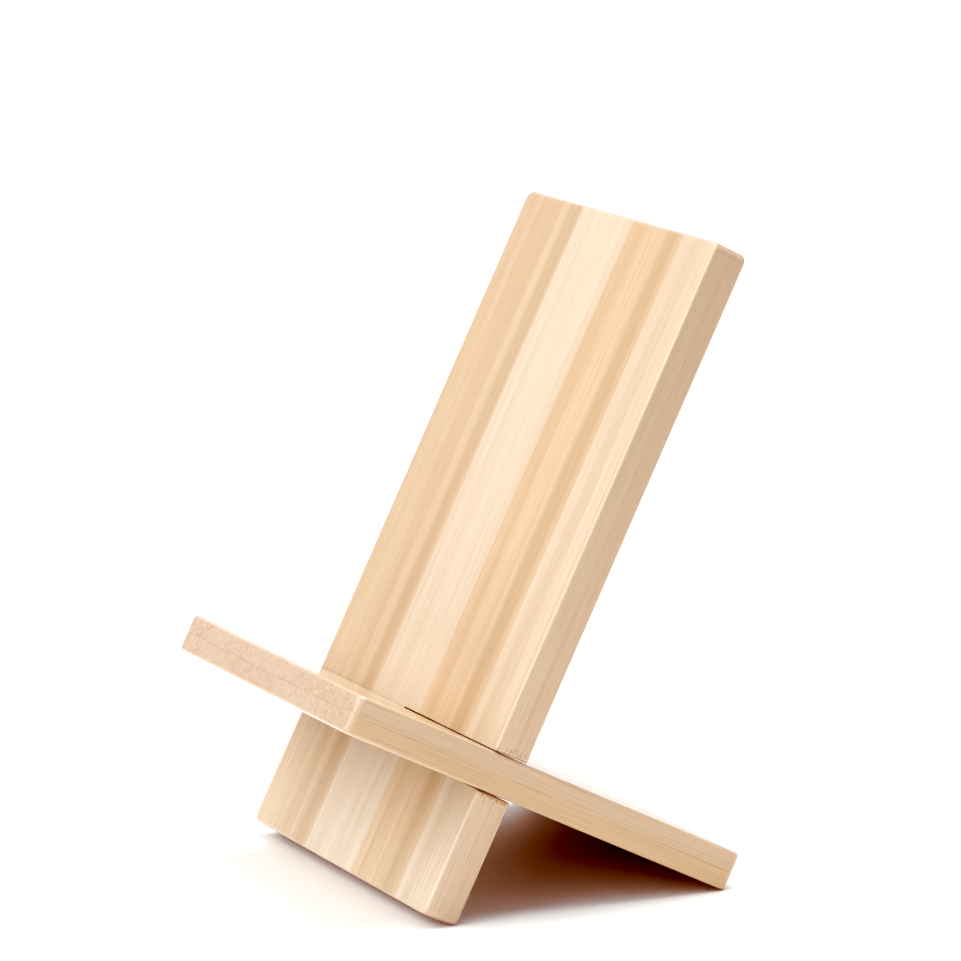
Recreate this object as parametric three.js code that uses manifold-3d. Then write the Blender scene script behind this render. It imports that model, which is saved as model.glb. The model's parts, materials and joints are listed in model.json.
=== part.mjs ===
// Slot-together phone stand: two laminated bamboo boards of equal width that cross at a right angle.
// The back board leans back and carries the phone's back; its lower end is the front foot.
// The shelf board slopes down to the rear and carries the phone's lower end; its rear end is the rear foot.
// Each board has a slot half its width deep, the back board's open to +X and the shelf's open to -X,
// so the shelf slides sideways into the back board. Every board is two plies of edge-glued bamboo strips.
// Frame: +X to the sitter's right as they face the phone, +Y to the rear, +Z up, origin under the middle.

import * as THREE from 'three';
import { mergeVertices } from 'three/addons/utils/BufferGeometryUtils.js';
import Module from 'manifold-3d';

const wasm = await Module();
wasm.setup();

// ---- driving dimensions, in millimetres ----

const boardWidth = 77;
const boardThickness = 7.8;
const backLength = 140;
const backBelow = 30; // from the crossing's centre to the back board's lower end
const shelfLength = 93;
const shelfFront = 35.5; // from the crossing's centre to the shelf's front end
const cornerRadius = 1.8; // of each board's four corners, seen flat
const edgeRound = 0.8; // of all edges round the outline
const slotPlay = 0.2; // gap between a slot's side and the board in it
const slotEndPlay = 0.25; // from the middle of the width to each slot's closed end
const mouthRadius = 0.8; // of the two corners of a slot's mouth
const glueLine = 0.1; // gap left for the glue between two strips or plies
const edgeSteps = 4; // facets in an edge's round
const cornerSteps = 4; // facets in a corner's round

// Where one strip meets the next across the width, from the board's middle.
const backFaceJoints = [-14.5, 6, 25.5];
const backRearJoints = [-26, -5.5, 15];
const shelfTopJoints = [-25, -4, 17];
const shelfUnderJoints = [-14.5, 6, 26.5];

// ---- sizes that follow ----

const halfWidth = boardWidth / 2;
const halfThickness = boardThickness / 2;
const shelfRear = shelfLength - shelfFront;
const slotHalfHeight = halfThickness + slotPlay;
const past = 5; // how far a cutter runs past what it cuts
// With this lean both feet touch the desk at once, whatever the edge round is.
const lean = Math.atan((backBelow - halfThickness) / (shelfRear - halfThickness));

// ---- bamboo tones ----

const tones = {
  pale: new THREE.Color('#e6c9a3'),
  cream: new THREE.Color('#ecd5b6'),
  tan: new THREE.Color('#dcb98f'),
  caramel: new THREE.Color('#d6a97a'),
};

function bambooMaterial(tone) {
  return new THREE.MeshStandardMaterial({ color: tones[tone], roughness: 0.55, metalness: 0 });
}

// ---- solids ----

function toSolid(geometry) {
  const bare = geometry.clone();
  bare.deleteAttribute('normal');
  bare.deleteAttribute('uv');
  const merged = mergeVertices(bare, 1e-5);
  const vertProperties = new Float32Array(merged.attributes.position.array);
  const triVerts = new Uint32Array(merged.index.array);
  return new wasm.Manifold(new wasm.Mesh({ numProp: 3, vertProperties, triVerts }));
}

function toGeometry(solid) {
  const mesh = solid.getMesh();
  const geometry = new THREE.BufferGeometry();
  geometry.setAttribute('position', new THREE.BufferAttribute(mesh.vertProperties, 3));
  geometry.setIndex(new THREE.BufferAttribute(mesh.triVerts, 1));
  geometry.computeVertexNormals();
  return geometry;
}

// A board lies in its own frame with its length along Y, its face up along Z and the crossing at the origin.
function boardOutline(yLow, yHigh) {
  const outline = new THREE.Shape();
  const x = halfWidth - cornerRadius;
  outline.moveTo(-x, yLow);
  outline.lineTo(x, yLow);
  outline.absarc(x, yLow + cornerRadius, cornerRadius, -Math.PI / 2, 0);
  outline.lineTo(halfWidth, yHigh - cornerRadius);
  outline.absarc(x, yHigh - cornerRadius, cornerRadius, 0, Math.PI / 2);
  outline.lineTo(-x, yHigh);
  outline.absarc(-x, yHigh - cornerRadius, cornerRadius, Math.PI / 2, Math.PI);
  outline.lineTo(-halfWidth, yLow + cornerRadius);
  outline.absarc(-x, yLow + cornerRadius, cornerRadius, Math.PI, Math.PI * 1.5);
  return outline;
}

function roundedBoard(yLow, yHigh) {
  const geometry = new THREE.ExtrudeGeometry(boardOutline(yLow, yHigh), {
    depth: boardThickness - 2 * edgeRound,
    bevelEnabled: true,
    bevelThickness: edgeRound,
    bevelSize: edgeRound,
    bevelOffset: -edgeRound,
    bevelSegments: edgeSteps,
    curveSegments: cornerSteps,
  });
  geometry.translate(0, 0, edgeRound - halfThickness);
  return toSolid(geometry);
}

// A slot from just past the middle of the width out through one side, its mouth's corners rounded off.
function slotCutter(openSide) {
  const outline = new THREE.Shape();
  const outside = halfWidth + past;
  outline.moveTo(-slotEndPlay, -slotHalfHeight);
  outline.lineTo(halfWidth - mouthRadius, -slotHalfHeight);
  const mouthY = slotHalfHeight + mouthRadius;
  const mouthX = halfWidth - mouthRadius;
  outline.absarc(mouthX, -mouthY, mouthRadius, Math.PI / 2, 0, true);
  outline.lineTo(outside, -mouthY);
  outline.lineTo(outside, mouthY);
  outline.lineTo(halfWidth, mouthY);
  outline.absarc(mouthX, mouthY, mouthRadius, 0, -Math.PI / 2, true);
  outline.lineTo(-slotEndPlay, slotHalfHeight);
  const depth = boardThickness + 2 * past;
  const geometry = new THREE.ExtrudeGeometry(outline, {
    depth,
    bevelEnabled: false,
    curveSegments: cornerSteps,
  });
  geometry.translate(0, 0, -depth / 2);
  if (openSide < 0) {
    geometry.rotateZ(Math.PI);
  }
  return toSolid(geometry);
}

function block(xLow, xHigh, yLow, yHigh, zLow, zHigh) {
  const geometry = new THREE.BoxGeometry(xHigh - xLow, yHigh - yLow, zHigh - zLow);
  geometry.translate((xLow + xHigh) / 2, (yLow + yHigh) / 2, (zLow + zHigh) / 2);
  return toSolid(geometry);
}

// ---- boards ----

// Cuts one ply of a board into its strips. A strip that the slot cuts right through becomes two pieces.
function addPly(group, board, ply) {
  const edges = [-halfWidth - past, ...ply.joints, halfWidth + past];
  const zLow = ply.side > 0 ? glueLine / 2 : -halfThickness - past;
  const zHigh = ply.side > 0 ? halfThickness + past : -glueLine / 2;
  ply.tones.forEach((tone, index) => {
    const xLow = edges[index] + glueLine / 2;
    const xHigh = edges[index + 1] - glueLine / 2;
    const nearestToEnd = board.openSide > 0 ? xLow : -xHigh;
    const cutThrough = nearestToEnd > -slotEndPlay;
    const yEnds = [board.yLow - past, board.yHigh + past];
    const spans = cutThrough ? [[yEnds[0], 0], [0, yEnds[1]]] : [yEnds];
    spans.forEach(([yLow, yHigh], part) => {
      const solid = board.solid.intersect(block(xLow, xHigh, yLow, yHigh, zLow, zHigh));
      const strip = new THREE.Mesh(toGeometry(solid), bambooMaterial(tone));
      const suffix = cutThrough ? `_${board.ends[part]}` : '';
      strip.name = `${ply.name}_strip_${index + 1}${suffix}`;
      group.add(strip);
    });
  });
}

function makeBoard({ yLow, yHigh, openSide, ends, plies }) {
  const solid = roundedBoard(yLow, yHigh).subtract(slotCutter(openSide));
  const board = { solid, yLow, yHigh, openSide, ends };
  const group = new THREE.Group();
  plies.forEach((ply) => addPly(group, board, ply));
  return group;
}

function backBoard() {
  return makeBoard({
    yLow: -backBelow,
    yHigh: backLength - backBelow,
    openSide: 1,
    ends: ['lower', 'upper'],
    plies: [
      { name: 'back_face', side: 1, joints: backFaceJoints, tones: ['tan', 'cream', 'caramel', 'pale'] },
      { name: 'back_rear', side: -1, joints: backRearJoints, tones: ['cream', 'tan', 'pale', 'tan'] },
    ],
  });
}

function shelfBoard() {
  return makeBoard({
    yLow: -shelfFront,
    yHigh: shelfRear,
    openSide: -1,
    ends: ['front', 'rear'],
    plies: [
      { name: 'shelf_top', side: 1, joints: shelfTopJoints, tones: ['pale', 'cream', 'pale', 'tan'] },
      { name: 'shelf_under', side: -1, joints: shelfUnderJoints, tones: ['pale', 'tan', 'cream', 'caramel'] },
    ],
  });
}

// ---- assembly ----

const crossing = new THREE.Group();
const back = backBoard();
back.rotation.x = Math.PI / 2 - lean;
crossing.add(back);

const shelf = shelfBoard();
shelf.rotation.x = -lean;
crossing.add(shelf);

// The stand is lifted onto the desk and centred over the origin.
const reach = new THREE.Box3().setFromObject(crossing, true);
const middle = reach.getCenter(new THREE.Vector3());
crossing.position.set(-middle.x, -middle.y, -reach.min.z);

const stand = new THREE.Group();
stand.add(crossing);

export default stand;
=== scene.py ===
"""Slot-together bamboo phone stand: the looks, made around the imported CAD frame.

Each laminated strip of the two boards is built again with fine rounds and its own bamboo material,
and stands for the CAD node of the same name.
"""

import json
import math

import bmesh
import bpy
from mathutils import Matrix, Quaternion, Vector, noise


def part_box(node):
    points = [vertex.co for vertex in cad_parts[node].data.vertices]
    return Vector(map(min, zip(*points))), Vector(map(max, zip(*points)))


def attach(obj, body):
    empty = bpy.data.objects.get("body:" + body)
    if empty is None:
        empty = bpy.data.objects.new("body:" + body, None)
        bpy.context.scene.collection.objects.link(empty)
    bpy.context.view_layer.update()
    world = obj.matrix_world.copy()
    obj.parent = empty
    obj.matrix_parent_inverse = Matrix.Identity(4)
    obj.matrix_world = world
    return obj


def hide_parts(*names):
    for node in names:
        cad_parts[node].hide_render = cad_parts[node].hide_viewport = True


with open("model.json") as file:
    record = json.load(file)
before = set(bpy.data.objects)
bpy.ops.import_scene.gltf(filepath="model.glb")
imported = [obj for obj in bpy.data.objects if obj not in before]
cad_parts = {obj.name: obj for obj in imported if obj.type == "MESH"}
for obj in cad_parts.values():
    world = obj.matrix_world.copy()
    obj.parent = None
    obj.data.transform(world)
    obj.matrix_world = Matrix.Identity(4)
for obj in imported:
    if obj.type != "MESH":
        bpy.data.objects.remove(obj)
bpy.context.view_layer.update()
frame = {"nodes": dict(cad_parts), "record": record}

MM = 0.001
ACROSS = Vector((1, 0, 0))

# ---- the two boards, as the frame gives them ----


def mount_axis(name):
    """The direction that a mount's face looks in."""
    mount = next(m for m in frame["record"]["mounts"] if m["name"] == name)
    return Vector(mount["axis"]).normalized()


def reach(nodes, direction):
    """How far down and up the CAD nodes reach along a direction."""
    distances = [direction.dot(v.co) for n in nodes for v in frame["nodes"][n].data.vertices]
    return min(distances), max(distances)


class Board:
    """A board's own axes: x across it, y along it and z out of its face, from the crossing's middle."""

    def __init__(self, body, face_mount, slot_side, slot_node):
        self.body = body
        self.nodes = frame["record"]["behaviour"]["bodies"][body]
        self.slot_side = slot_side
        self.slot_node = slot_node
        self.normal = mount_axis(face_mount)
        self.along = self.normal.cross(ACROSS)
        low, high = reach(self.nodes, self.normal)
        self.half_thickness = (high - low) / 2
        plies = [reach([node], self.normal) for node in self.nodes]
        self.glue_line = max(bottom for bottom, top in plies) - min(top for bottom, top in plies)
        self.middle = (high + low) / 2
        low, high = reach(self.nodes, ACROSS)
        self.half_width = (high - low) / 2

    def place(self, crossing):
        """Measures along the board from the crossing."""
        self.origin = crossing
        start = self.along.dot(crossing)
        low, high = reach(self.nodes, self.along)
        self.low = low - start
        self.high = high - start
        self.slot_half = reach([self.slot_node], self.along)[0] - start

    def to_row(self, x, y, z):
        """A point of the board in the row frame."""
        return self.origin + x * ACROSS + y * self.along + z * self.normal


back = Board("back_board", "back_rest", 1, "back_face_strip_4_upper")
shelf = Board("shelf_board", "phone_shelf", -1, "shelf_top_strip_1_rear")
crossing = back.middle * back.normal + shelf.middle * shelf.normal
back.place(crossing)
shelf.place(crossing)

# ---- camera ----

CAMERA_AZIMUTH = math.radians(62.4)
CAMERA_ELEVATION = math.radians(11.29)
CAMERA_DISTANCE = 1.0105
CAMERA_ROLL = math.radians(0.77)
CAMERA_LENS = 191.8
AIM_FROM_CROSSING = Vector((-0.00275, 0.01581, 0.04893))


def make_camera():
    """The camera, from where the stand is seen three-quarters from its front."""
    data = bpy.data.cameras.new("camera")
    data.lens = CAMERA_LENS
    data.clip_start = 0.05
    data.clip_end = 50
    camera = bpy.data.objects.new("camera", data)
    bpy.context.scene.collection.objects.link(camera)
    back_from_aim = Vector((
        math.sin(CAMERA_AZIMUTH) * math.cos(CAMERA_ELEVATION),
        -math.cos(CAMERA_AZIMUTH) * math.cos(CAMERA_ELEVATION),
        math.sin(CAMERA_ELEVATION),
    ))
    camera.location = crossing + AIM_FROM_CROSSING + CAMERA_DISTANCE * back_from_aim
    camera.rotation_mode = "QUATERNION"
    level = (-back_from_aim).to_track_quat("-Z", "Y")
    camera.rotation_quaternion = level @ Quaternion((0, 0, 1), CAMERA_ROLL)
    bpy.context.scene.camera = camera


make_camera()

# ---- shapes ----

CORNER_RADIUS = 1.8 * MM  # of a board's corners, seen flat
EDGE_ROUND = 0.8 * MM  # of the edges round a board
EDGE_UNEVEN = 0.14  # share by which hand sanding varies the edge's round
UNEVEN_PER_METRE = 45  # how closely that varies along an edge
UNEVEN_APART = 7  # keeps the two faces' edges from varying alike
BOARDS_APART = 10  # and the two boards' edges
SLOT_EDGE = 0.12 * MM  # the slot's edges are only just eased
SLOT_END = 0.25 * MM  # how far past the middle of the width a slot ends
MOUTH_RADIUS = 0.8 * MM  # of a slot's mouth, seen flat
SEAM = 0.006 * MM  # between two strips
ROUND_STEPS = 8  # facets in an edge's round
CORNER_STEPS = 8  # and in a corner
STRETCH_STEP = 2.5 * MM  # longest straight stretch of a board's outline
SHARP = math.radians(32)  # faces that meet at more than this are shaded as an edge
ON_CUT = 1e-8  # a point this near a cut lies on it
SAME_POINT = 1e-7


def arc(x, y, radius, start, end, rounded=(1, 1)):
    """Outline points on an arc, counted in degrees: place, outward direction, share of the edge's round."""
    points = []
    for i in range(CORNER_STEPS + 1):
        share = i / CORNER_STEPS
        angle = math.radians(start + (end - start) * share)
        out = (math.cos(angle), math.sin(angle))
        weight = rounded[0] + (rounded[1] - rounded[0]) * share
        points.append((x + radius * out[0], y + radius * out[1], *out, weight))
    return points


def outline(board):
    """A board's outline with its slot, anticlockwise, for a slot that opens to +x."""
    x = board.half_width - CORNER_RADIUS
    low = board.low + CORNER_RADIUS
    high = board.high - CORNER_RADIUS
    mouth_x = board.half_width - MOUTH_RADIUS
    mouth_y = board.slot_half + MOUTH_RADIUS
    corners = [
        *arc(-x, low, CORNER_RADIUS, 180, 270),
        *arc(x, low, CORNER_RADIUS, 270, 360),
        *arc(mouth_x, -mouth_y, MOUTH_RADIUS, 0, 90, (1, 0)),
        (-SLOT_END, -board.slot_half, 1, 1, 0),
        (-SLOT_END, board.slot_half, 1, -1, 0),
        *arc(mouth_x, mouth_y, MOUTH_RADIUS, -90, 0, (0, 1)),
        *arc(x, high, CORNER_RADIUS, 0, 90),
        *arc(-x, high, CORNER_RADIUS, 90, 180),
    ]
    points = []
    for here, there in zip(corners, corners[1:] + corners[:1]):
        points.append(here)
        points += between(here, there)
    return points


def between(here, there):
    """Points along a straight stretch of the outline."""
    gap = math.hypot(there[0] - here[0], there[1] - here[1])
    pieces = math.ceil(gap / STRETCH_STEP)
    if pieces < 2:
        return []
    dx = (there[0] - here[0]) / gap
    dy = (there[1] - here[1]) / gap
    weight = min(here[4], there[4])
    steps = [gap * i / pieces for i in range(1, pieces)]
    return [(here[0] + dx * s, here[1] + dy * s, dy, -dx, weight) for s in steps]


def edge_radius(board, x, y, face, weight):
    """The edge's round where hand sanding left it."""
    spot = Vector((x, y, face)) * UNEVEN_PER_METRE + board.normal * BOARDS_APART
    spot.z += UNEVEN_APART * face
    uneven = 1 + EDGE_UNEVEN * noise.noise(spot)
    return SLOT_EDGE + (EDGE_ROUND * uneven - SLOT_EDGE) * weight


def board_solid(board):
    """The whole board as one closed bmesh, in its own axes."""
    bm = bmesh.new()
    rings = []
    turns = [math.pi / 2 * i / ROUND_STEPS for i in range(ROUND_STEPS + 1)]
    levels = [(-1, turn) for turn in reversed(turns)] + [(1, turn) for turn in turns]
    points = outline(board)
    for face, turn in levels:
        ring = []
        for x, y, out_x, out_y, weight in points:
            radius = edge_radius(board, x, y, face, weight)
            inset = radius * (1 - math.cos(turn))
            z = face * (board.half_thickness - radius * (1 - math.sin(turn)))
            place = (x - out_x * inset, y - out_y * inset, z)
            ring.append(bm.verts.new((board.slot_side * place[0], place[1], place[2])))
        rings.append(ring)
    count = len(points)
    for lower, upper in zip(rings, rings[1:]):
        for i in range(count):
            j = (i + 1) % count
            bm.faces.new((lower[i], lower[j], upper[j], upper[i]))
    bm.faces.new(list(reversed(rings[0])))
    bm.faces.new(rings[-1])
    bmesh.ops.recalc_face_normals(bm, faces=bm.faces)
    return bm


def keep_beyond(bm, axis, limit, side):
    """Keeps what lies beyond a plane across an axis, and closes the cut."""
    direction = [0, 0, 0]
    direction[axis] = side
    place = [0, 0, 0]
    place[axis] = limit
    everything = [*bm.verts, *bm.edges, *bm.faces]
    bmesh.ops.bisect_plane(
        bm, geom=everything, dist=ON_CUT, plane_co=place, plane_no=direction, clear_inner=True
    )
    open_edges = [e for e in bm.edges if e.is_boundary]
    bmesh.ops.holes_fill(bm, edges=open_edges, sides=0)


def cut_piece(board, whole, node):
    """One piece of a strip, cut from the whole board, as a bmesh in the board's axes.

    The CAD leaves a glue line between strips, and the cuts share it out down to the seam.
    """
    low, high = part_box(node)
    to_seam = (board.glue_line - SEAM) / 2
    bm = whole.copy()
    if low.x > -board.half_width + MM:
        keep_beyond(bm, 0, low.x - to_seam, 1)
    if high.x < board.half_width - MM:
        keep_beyond(bm, 0, high.x + to_seam, -1)
    ply = reach([node], board.normal)
    outer = 1 if sum(ply) / 2 > board.normal.dot(board.origin) else -1
    keep_beyond(bm, 2, outer * SEAM / 2, outer)
    if node.endswith(("_lower", "_front")):
        keep_beyond(bm, 1, 0, -1)
    if node.endswith(("_upper", "_rear")):
        keep_beyond(bm, 1, 0, 1)
    return bm


def shade(bm):
    """Smooth shading, with sharp edges where two faces meet at more than a facet's angle."""
    for face in bm.faces:
        face.smooth = True
    for edge in bm.edges:
        edge.smooth = len(edge.link_faces) == 2 and edge.calc_face_angle(0) < SHARP


def make_piece(board, whole, node):
    """The object that stands for a CAD node, at its place in the row frame."""
    bm = cut_piece(board, whole, node)
    bmesh.ops.remove_doubles(bm, verts=bm.verts, dist=SAME_POINT)
    bmesh.ops.recalc_face_normals(bm, faces=bm.faces)
    shade(bm)
    for vertex in bm.verts:
        vertex.co = board.to_row(*vertex.co)
    mesh = bpy.data.meshes.new(node + "_bamboo")
    bm.to_mesh(mesh)
    bm.free()
    piece = bpy.data.objects.new(node + "_bamboo", mesh)
    bpy.context.scene.collection.objects.link(piece)
    even = piece.modifiers.new("even_normals", "WEIGHTED_NORMAL")
    even.keep_sharp = True
    even.weight = 100
    return piece


# ---- bamboo ----

# Tones of a strip between its fibres, and of the fibres in it.
TONES = {
    "bamboo_pale": ((0.593, 0.469, 0.345), (0.513, 0.372, 0.243)),
    "bamboo_cream": ((0.611, 0.491, 0.372), (0.531, 0.398, 0.27)),
    "bamboo_tan": ((0.549, 0.403, 0.274), (0.478, 0.323, 0.195)),
    "bamboo_caramel": ((0.575, 0.412, 0.27), (0.478, 0.319, 0.181)),
}
END_TONE = (0.465, 0.345, 0.255)
LOW_END_LIGHT_GAIN = (1.15, 1.23, 1.33)  # painted light: the tone at a board's low end, lifted paler as if lit more brightly there
LOW_END_LIGHT_LENGTH = 25 * MM
END_SPOT_TONE = (0.41, 0.21, 0.095)
SIDE_TONES = {
    "bamboo_pale": (0.584, 0.416, 0.279),
    "bamboo_cream": (0.584, 0.425, 0.292),
    "bamboo_tan": (0.584, 0.412, 0.274),
    "bamboo_caramel": (0.58, 0.385, 0.22),
}
SIDE_TREND = {"back_board": (1.10, 0.83), "shelf_board": (0.97, 1.14)}  # of the side's tone, low to high end
# Rounded edges: paler from sanding wear, plus a painted highlight where the edges catch light.
WORN_AND_HIGHLIGHT_TONE = (0.655, 0.504, 0.372)
GLUE_TONE = (0.24, 0.13, 0.07)
TORN_TONE = (0.40, 0.215, 0.09)
DEEPER = 0.86  # the darkest fibres, as a share of a strip's fibre tone

# How fine each pattern is, per mm, across the fibres and along them.
BAND_GRAIN = (0.30, 0.006)
STREAK_GRAIN = (1.25, 0.014)
FIBRE_GRAIN = (4.6, 0.05)
BUNDLE_GRAIN = (1.5, 0.022)
PATCH_GRAIN = (0.3, 0.02)
TORN_GRAIN = (2.1, 0.8)
GLUE_GRAIN = (0.12, 0.05)
STRIP_SHIFT = (17.3, 5.1, 9.7)  # mm from one strip's place in the patterns to the next one's

# How much of each layer shows where it is strongest.
BAND_SHARE = 0.7
STREAK_SHARE = 0.5
SIDE_SHARE = 0.75
END_SHARE = 0.9
FIBRE_SHARE = 0.5
END_STREAK_SHARE = 0.3
LONG_BUNDLE_SHARE = 0.22
TORN_SHARE = 0.8
WORN_AND_HIGHLIGHT_SHARE = 0.3

# The torn fibres beside the slot, in mm: solid near it, gone by the far reach, and on the open side only.
TORN_NEAR = 0.3
TORN_FAR = 2.6
TORN_DEPTH = 4

ROUGHNESS = (0.32, 0.48)  # from smooth wood to its roughest fibres
SPECULAR = 0.5
COAT_WEIGHT = 0.6
COAT_ROUGHNESS = 0.14
FIBRE_RISE = 0.6  # fibres stand proud and bundles are sunk, as shares of the grain's height
BUNDLE_DIP = 0.5
GRAIN_STRENGTH = 0.25
GRAIN_HEIGHT = 0.06 * MM
PLY_LINES = {"back_board": 0.25, "shelf_board": 0.45}  # how strongly the glue between the plies shows

# How densely the fibre bundles show on a strip's end.
BUNDLES = {
    "shelf_top_strip_1": 1.0,
    "shelf_top_strip_4": 0.75,
    "shelf_under_strip_2": 0.5,
    "shelf_under_strip_4": 0.75,
    "back_face_strip_1": 0.8,
    "back_rear_strip_3": 0.7,
}
FEW_BUNDLES = 0.45

# Where a strip darkens towards the cane's skin: middle and half width across the board in mm, and
# strength. A band's edges sway with the streaks, and its core is even.
SKIN_SWAY = 1.6
SKIN_CORE = 0.35
SKIN_BANDS = {
    "back_face_strip_1": (-17.6, 3.4, 0.55),
    "back_face_strip_3": (21.5, 3.6, 0.6),
    "back_rear_strip_2": (-8.5, 4.0, 0.6),
    "back_rear_strip_4": (18.0, 3.5, 0.5),
    "shelf_top_strip_3": (13.5, 4.0, 0.5),
    "shelf_under_strip_2": (2.5, 3.8, 0.7),
}


def strip_of(node):
    """The strip that a node is, or is a piece of where the slot cuts the strip in two."""
    for ending in ("_lower", "_upper", "_front", "_rear"):
        node = node.removesuffix(ending)
    return node


STRIPS = sorted({strip_of(node) for node in back.nodes + shelf.nodes})


class Tree:
    """Adds nodes to a material's tree, each by one short call."""

    def __init__(self, name):
        self.material = bpy.data.materials.new(name)
        self.material.use_nodes = True
        self.tree = self.material.node_tree
        self.shader = self.tree.nodes["Principled BSDF"]

    def node(self, kind, inputs, **settings):
        made = self.tree.nodes.new("ShaderNode" + kind)
        for name, value in settings.items():
            setattr(made, name, value)
        for name, value in inputs.items():
            self.feed(made.inputs[name], value)
        return made

    def feed(self, socket, value):
        if isinstance(value, bpy.types.NodeSocket):
            self.tree.links.new(value, socket)
        else:
            socket.default_value = value

    def math(self, operation, *values):
        made = self.node("Math", dict(enumerate(values)), operation=operation)
        return made.outputs[0]

    def product(self, first, *others):
        for other in others:
            first = self.math("MULTIPLY", first, other)
        return first

    def stretch(self, vector, across, along):
        """A vector scaled so that a pattern drawn on it is finer across the fibres than along them."""
        inputs = {0: vector, 1: (across, along, across)}
        return self.node("VectorMath", inputs, operation="MULTIPLY").outputs[0]

    def noise(self, vector, detail=2.0, rough=0.5):
        inputs = {"Vector": vector, "Scale": 1.0, "Detail": detail, "Roughness": rough}
        return self.node("TexNoise", inputs).outputs["Fac"]

    def ramp(self, value, low, high, out_low=0.0, out_high=1.0):
        """value, from low to high, turned smoothly into out_low to out_high."""
        inputs = {
            "Value": value,
            "From Min": low,
            "From Max": high,
            "To Min": out_low,
            "To Max": out_high,
        }
        return self.node("MapRange", inputs, interpolation_type="SMOOTHSTEP").outputs[0]

    def mix(self, share, first, second):
        made = self.node("Mix", {0: share}, data_type="RGBA")
        for socket, value in ((made.inputs[6], first), (made.inputs[7], second)):
            self.feed(socket, value if isinstance(value, bpy.types.NodeSocket) else (*value, 1.0))
        return made.outputs[2]


def board_axes(tree, board):
    """The surface point in the board's own axes, in millimetres, and the direction that it faces."""
    turn = math.atan2(board.along.y, board.along.z) - math.pi / 2
    start = Vector((
        ACROSS.dot(board.origin),
        board.along.dot(board.origin),
        board.normal.dot(board.origin),
    ))
    coordinates = tree.node("TexCoord", {})
    place = tree.node(
        "Mapping",
        {
            "Vector": coordinates.outputs["Object"],
            "Location": -start / MM,
            "Rotation": (turn, 0, 0),
            "Scale": (1 / MM, 1 / MM, 1 / MM),
        },
        vector_type="POINT",
    )
    facing = tree.node(
        "Mapping",
        {"Vector": coordinates.outputs["Normal"], "Rotation": (turn, 0, 0)},
        vector_type="VECTOR",
    )
    return place.outputs[0], facing.outputs[0]


FACE_TURN = (0.55, 0.85)  # how squarely a point faces one way where it starts to be, and is, that face
EDGE_TURN = (0.97, 0.78)  # and where it starts to be, and is, a rounded edge


def face_shares(tree, facing):
    """How far a point belongs to a board's end, to its side, and to a rounded edge."""
    parts = tree.node("SeparateXYZ", {0: facing}).outputs
    sizes = [tree.math("ABSOLUTE", part) for part in parts]
    end = tree.ramp(sizes[1], *FACE_TURN)
    side = tree.ramp(sizes[0], *FACE_TURN)
    flat = tree.math("MAXIMUM", tree.math("MAXIMUM", sizes[0], sizes[1]), sizes[2])
    edge = tree.ramp(flat, *EDGE_TURN)
    return end, side, edge


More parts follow.
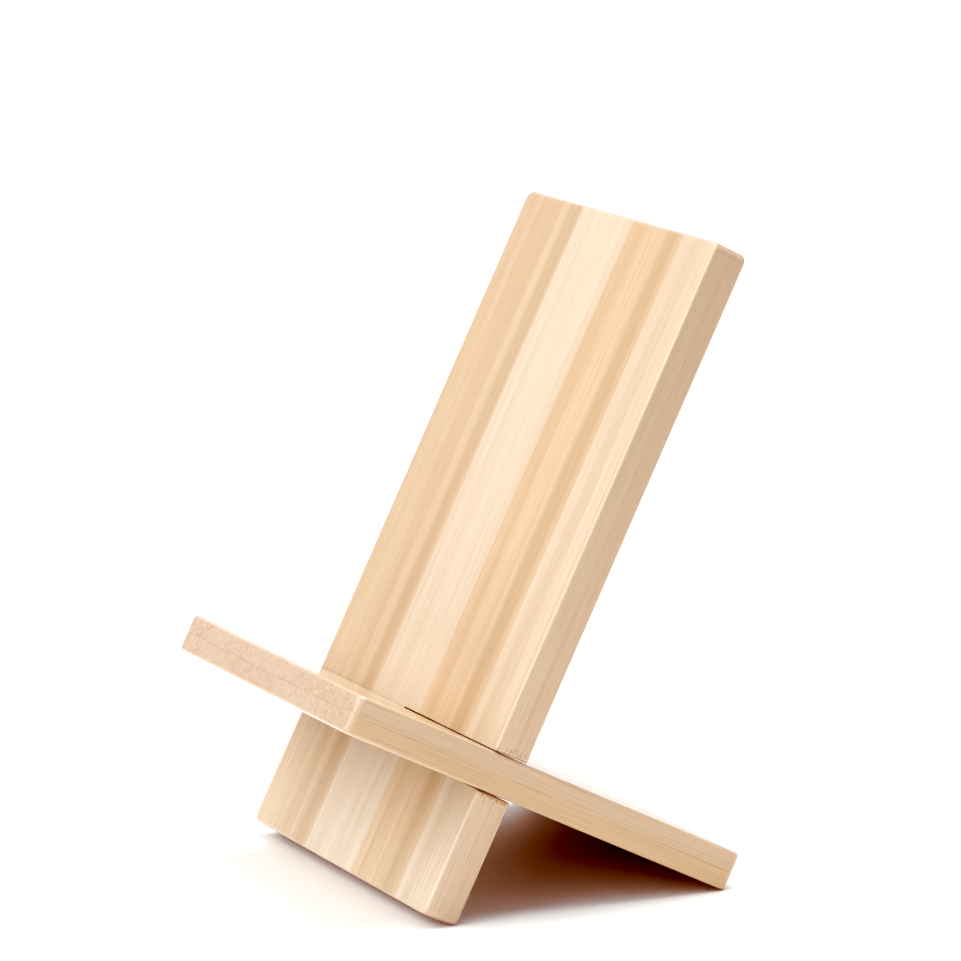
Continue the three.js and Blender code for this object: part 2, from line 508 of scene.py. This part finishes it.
def bamboo(board, node, slot):
    """Bamboo for one piece: fibre bundles that run along it show as spots on its ends.

    In each ramp the first pair of numbers says where in the pattern a mark starts and is full.
    """
    strip = strip_of(node)
    seed = STRIPS.index(strip)
    tree = Tree(node + "_finish")
    place, facing = board_axes(tree, board)
    end, side, edge = face_shares(tree, facing)
    x, y, z = tree.node("SeparateXYZ", {0: place}).outputs
    offset = tuple(shift * seed for shift in STRIP_SHIFT)
    grown = tree.node("VectorMath", {0: place, 1: offset}, operation="ADD").outputs[0]
    light, dark = TONES[slot]
    lengthwise = tree.math("SUBTRACT", 1.0, end)

    # Broad bands, medium streaks and fine fibres, all drawn out along the strip.
    band = tree.noise(tree.stretch(grown, *BAND_GRAIN), 2.0)
    streak = tree.noise(tree.stretch(grown, *STREAK_GRAIN), 2.5)
    fibre = tree.noise(tree.stretch(grown, *FIBRE_GRAIN), 2.5, 0.6)
    colour = tree.mix(tree.ramp(band, 0.36, 0.66, 0.0, BAND_SHARE), light, dark)
    colour = tree.mix(tree.ramp(streak, 0.45, 0.72, 0.0, STREAK_SHARE), colour, dark)
    deeper = tuple(DEEPER * c for c in dark)
    if strip in SKIN_BANDS:
        middle, half, strength = SKIN_BANDS[strip]
        sway = tree.math("MULTIPLY_ADD", streak, SKIN_SWAY, x)
        off = tree.math("ABSOLUTE", tree.math("SUBTRACT", sway, middle + SKIN_SWAY / 2))
        colour = tree.mix(tree.ramp(off, half * SKIN_CORE, half, strength, 0.0), colour, deeper)

    # Painted light: a board's low end is painted paler, as if more brightly lit.
    low_end_light = tree.ramp(y, board.low / MM, (board.low + LOW_END_LIGHT_LENGTH) / MM, 1.0, 0.0)
    paler = tree.node("VectorMath", {0: colour, 1: LOW_END_LIGHT_GAIN}, operation="MULTIPLY").outputs[0]
    colour = tree.mix(low_end_light, colour, paler)

    # A side takes its own tone, which drifts along the board, and an end takes the end grain's.
    trend = tree.ramp(y, board.low / MM, board.high / MM, *SIDE_TREND[board.body])
    side_tone = tree.node("VectorMath", {0: SIDE_TONES[slot], "Scale": trend}, operation="SCALE").outputs[0]
    colour = tree.mix(tree.product(side, SIDE_SHARE), colour, side_tone)
    colour = tree.mix(tree.product(end, END_SHARE), colour, END_TONE)
    strand = tree.product(tree.ramp(fibre, 0.42, 0.75), lengthwise, FIBRE_SHARE)
    colour = tree.mix(strand, colour, deeper)

    # Fibre bundles: spots on an end, short dark lines along the other faces.
    cell = tree.node("TexVoronoi", {"Vector": tree.stretch(grown, *BUNDLE_GRAIN), "Scale": 1.0})
    spot = tree.ramp(cell.outputs["Distance"], 0.18, 0.52, 1.0, 0.0)
    patch = tree.ramp(tree.noise(tree.stretch(grown, *PATCH_GRAIN)), 0.38, 0.6, 0.3, 1.0)
    bundles = BUNDLES.get(strip, FEW_BUNDLES)
    end_streak = tree.product(tree.ramp(streak, 0.4, 0.7), end, END_STREAK_SHARE)
    colour = tree.mix(end_streak, colour, END_SPOT_TONE)
    colour = tree.mix(tree.product(spot, end, patch, bundles), colour, END_SPOT_TONE)
    colour = tree.mix(tree.product(spot, lengthwise, patch, LONG_BUNDLE_SHARE), colour, deeper)

    # The saw tore fibres out of the open side, beside the slot.
    slot_edge = board.slot_half / MM
    torn = tree.ramp(tree.math("ABSOLUTE", y), slot_edge + TORN_NEAR, slot_edge + TORN_FAR, 1.0, 0.0)
    nick = tree.node("TexVoronoi", {"Vector": tree.stretch(grown, *TORN_GRAIN), "Scale": 1.0})
    hole = tree.ramp(nick.outputs["Distance"], 0.25, 0.6, 1.0, 0.0)
    edge_x = board.half_width / MM
    open_side = tree.ramp(tree.product(x, board.slot_side), edge_x - TORN_DEPTH, edge_x)
    colour = tree.mix(tree.product(torn, side, open_side, hole, TORN_SHARE), colour, TORN_TONE)

    # Sanded edges are paler, partly from wear and partly as a painted highlight, and the glue between the
    # plies shows here and there.
    colour = tree.mix(tree.product(edge, WORN_AND_HIGHLIGHT_SHARE), colour, WORN_AND_HIGHLIGHT_TONE)
    line = tree.ramp(tree.math("ABSOLUTE", z), 0.03, 0.2, PLY_LINES[board.body], 0.0)
    here = tree.ramp(tree.noise(tree.stretch(grown, *GLUE_GRAIN)), 0.42, 0.62)
    colour = tree.mix(tree.product(line, here), colour, GLUE_TONE)
    tree.feed(tree.shader.inputs["Base Color"], colour)

    tree.feed(tree.shader.inputs["Roughness"], tree.ramp(fibre, 0.2, 0.8, *ROUGHNESS))
    tree.shader.inputs["Specular IOR Level"].default_value = SPECULAR
    tree.shader.inputs["Coat Weight"].default_value = COAT_WEIGHT
    tree.shader.inputs["Coat Roughness"].default_value = COAT_ROUGHNESS
    height = tree.math("SUBTRACT", tree.product(fibre, FIBRE_RISE), tree.product(spot, BUNDLE_DIP))
    bump = tree.node("Bump", {"Height": height, "Strength": GRAIN_STRENGTH, "Distance": GRAIN_HEIGHT})
    tree.feed(tree.shader.inputs["Normal"], bump.outputs[0])
    return tree.material


# ---- the pieces of each board ----


def finish_slot(node):
    """The record's material slot of a CAD node."""
    part = next(s for s in frame["record"]["subparts"] if s["node"] == node)
    return part["material_slot"]


def make_board(board):
    """Every strip of a board, each riding on the board's body."""
    whole = board_solid(board)
    for node in board.nodes:
        piece = make_piece(board, whole, node)
        slot = finish_slot(node)
        piece.data.materials.append(bamboo(board, node, slot))
        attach(piece, board.body)
        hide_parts(node)
    whole.free()


make_board(back)
make_board(shelf)

# ---- floor and light ----

FLOOR_SIZE = 8.0
FLOOR_TONE = (0.95, 0.95, 0.95, 1)
FLOOR_ROUGHNESS = 0.25
FLOOR_SPECULAR = 0.3


def make_floor():
    """A wide, pale floor under the stand."""
    mesh = bpy.data.meshes.new("floor")
    half = FLOOR_SIZE / 2
    corners = [(-half, -half, 0), (half, -half, 0), (half, half, 0), (-half, half, 0)]
    mesh.from_pydata(corners, [], [(0, 1, 2, 3)])
    floor = bpy.data.objects.new("floor", mesh)
    bpy.context.scene.collection.objects.link(floor)
    material = bpy.data.materials.new("floor_finish")
    material.use_nodes = True
    shader = material.node_tree.nodes["Principled BSDF"]
    shader.inputs["Base Color"].default_value = FLOOR_TONE
    shader.inputs["Roughness"].default_value = FLOOR_ROUGHNESS
    shader.inputs["Specular IOR Level"].default_value = FLOOR_SPECULAR
    mesh.materials.append(material)


def make_light(name, azimuth, elevation, softness, strength):
    """A far softbox in a direction counted as the camera's is, as wide as its softness in degrees."""
    data = bpy.data.lights.new(name, "SUN")
    data.angle = math.radians(softness)
    data.energy = strength * math.pi
    light = bpy.data.objects.new(name, data)
    bpy.context.scene.collection.objects.link(light)
    turn = math.radians(azimuth)
    rise = math.radians(elevation)
    away = Vector((math.sin(turn) * math.cos(rise), -math.cos(turn) * math.cos(rise), math.sin(rise)))
    light.location = crossing + away
    light.rotation_mode = "QUATERNION"
    light.rotation_quaternion = (-away).to_track_quat("-Z", "Y")


def make_world(strength):
    """An even white surround."""
    world = bpy.data.worlds.new("studio")
    world.use_nodes = True
    background = world.node_tree.nodes["Background"]
    background.inputs["Color"].default_value = (1, 1, 1, 1)
    background.inputs["Strength"].default_value = strength
    bpy.context.scene.world = world


BLACK_POINT = (0.045, 0.070, 0.078)  # tinted, so that deep shade turns brown
# Green and blue, curves 1 and 2, fall off faster than red in the shade.
SHADE_CURVES = {1: ((0.14, 0.085), (0.36, 0.345)), 2: ((0.09, 0.045), (0.27, 0.26))}


def make_grade():
    """A plain display transform with the deep blacks of a product picture."""
    settings = bpy.context.scene.view_settings
    settings.view_transform = "Standard"
    settings.use_curve_mapping = True
    grade = settings.curve_mapping
    grade.black_level = BLACK_POINT
    for channel, points in SHADE_CURVES.items():
        for value, graded in points:
            grade.curves[channel].points.new(value, graded)
    grade.update()


make_floor()
make_world(strength=0.65)
make_light("key", azimuth=-10, elevation=40, softness=60, strength=0.78)
make_light("top", azimuth=200, elevation=78, softness=40, strength=0.84)
make_grade()
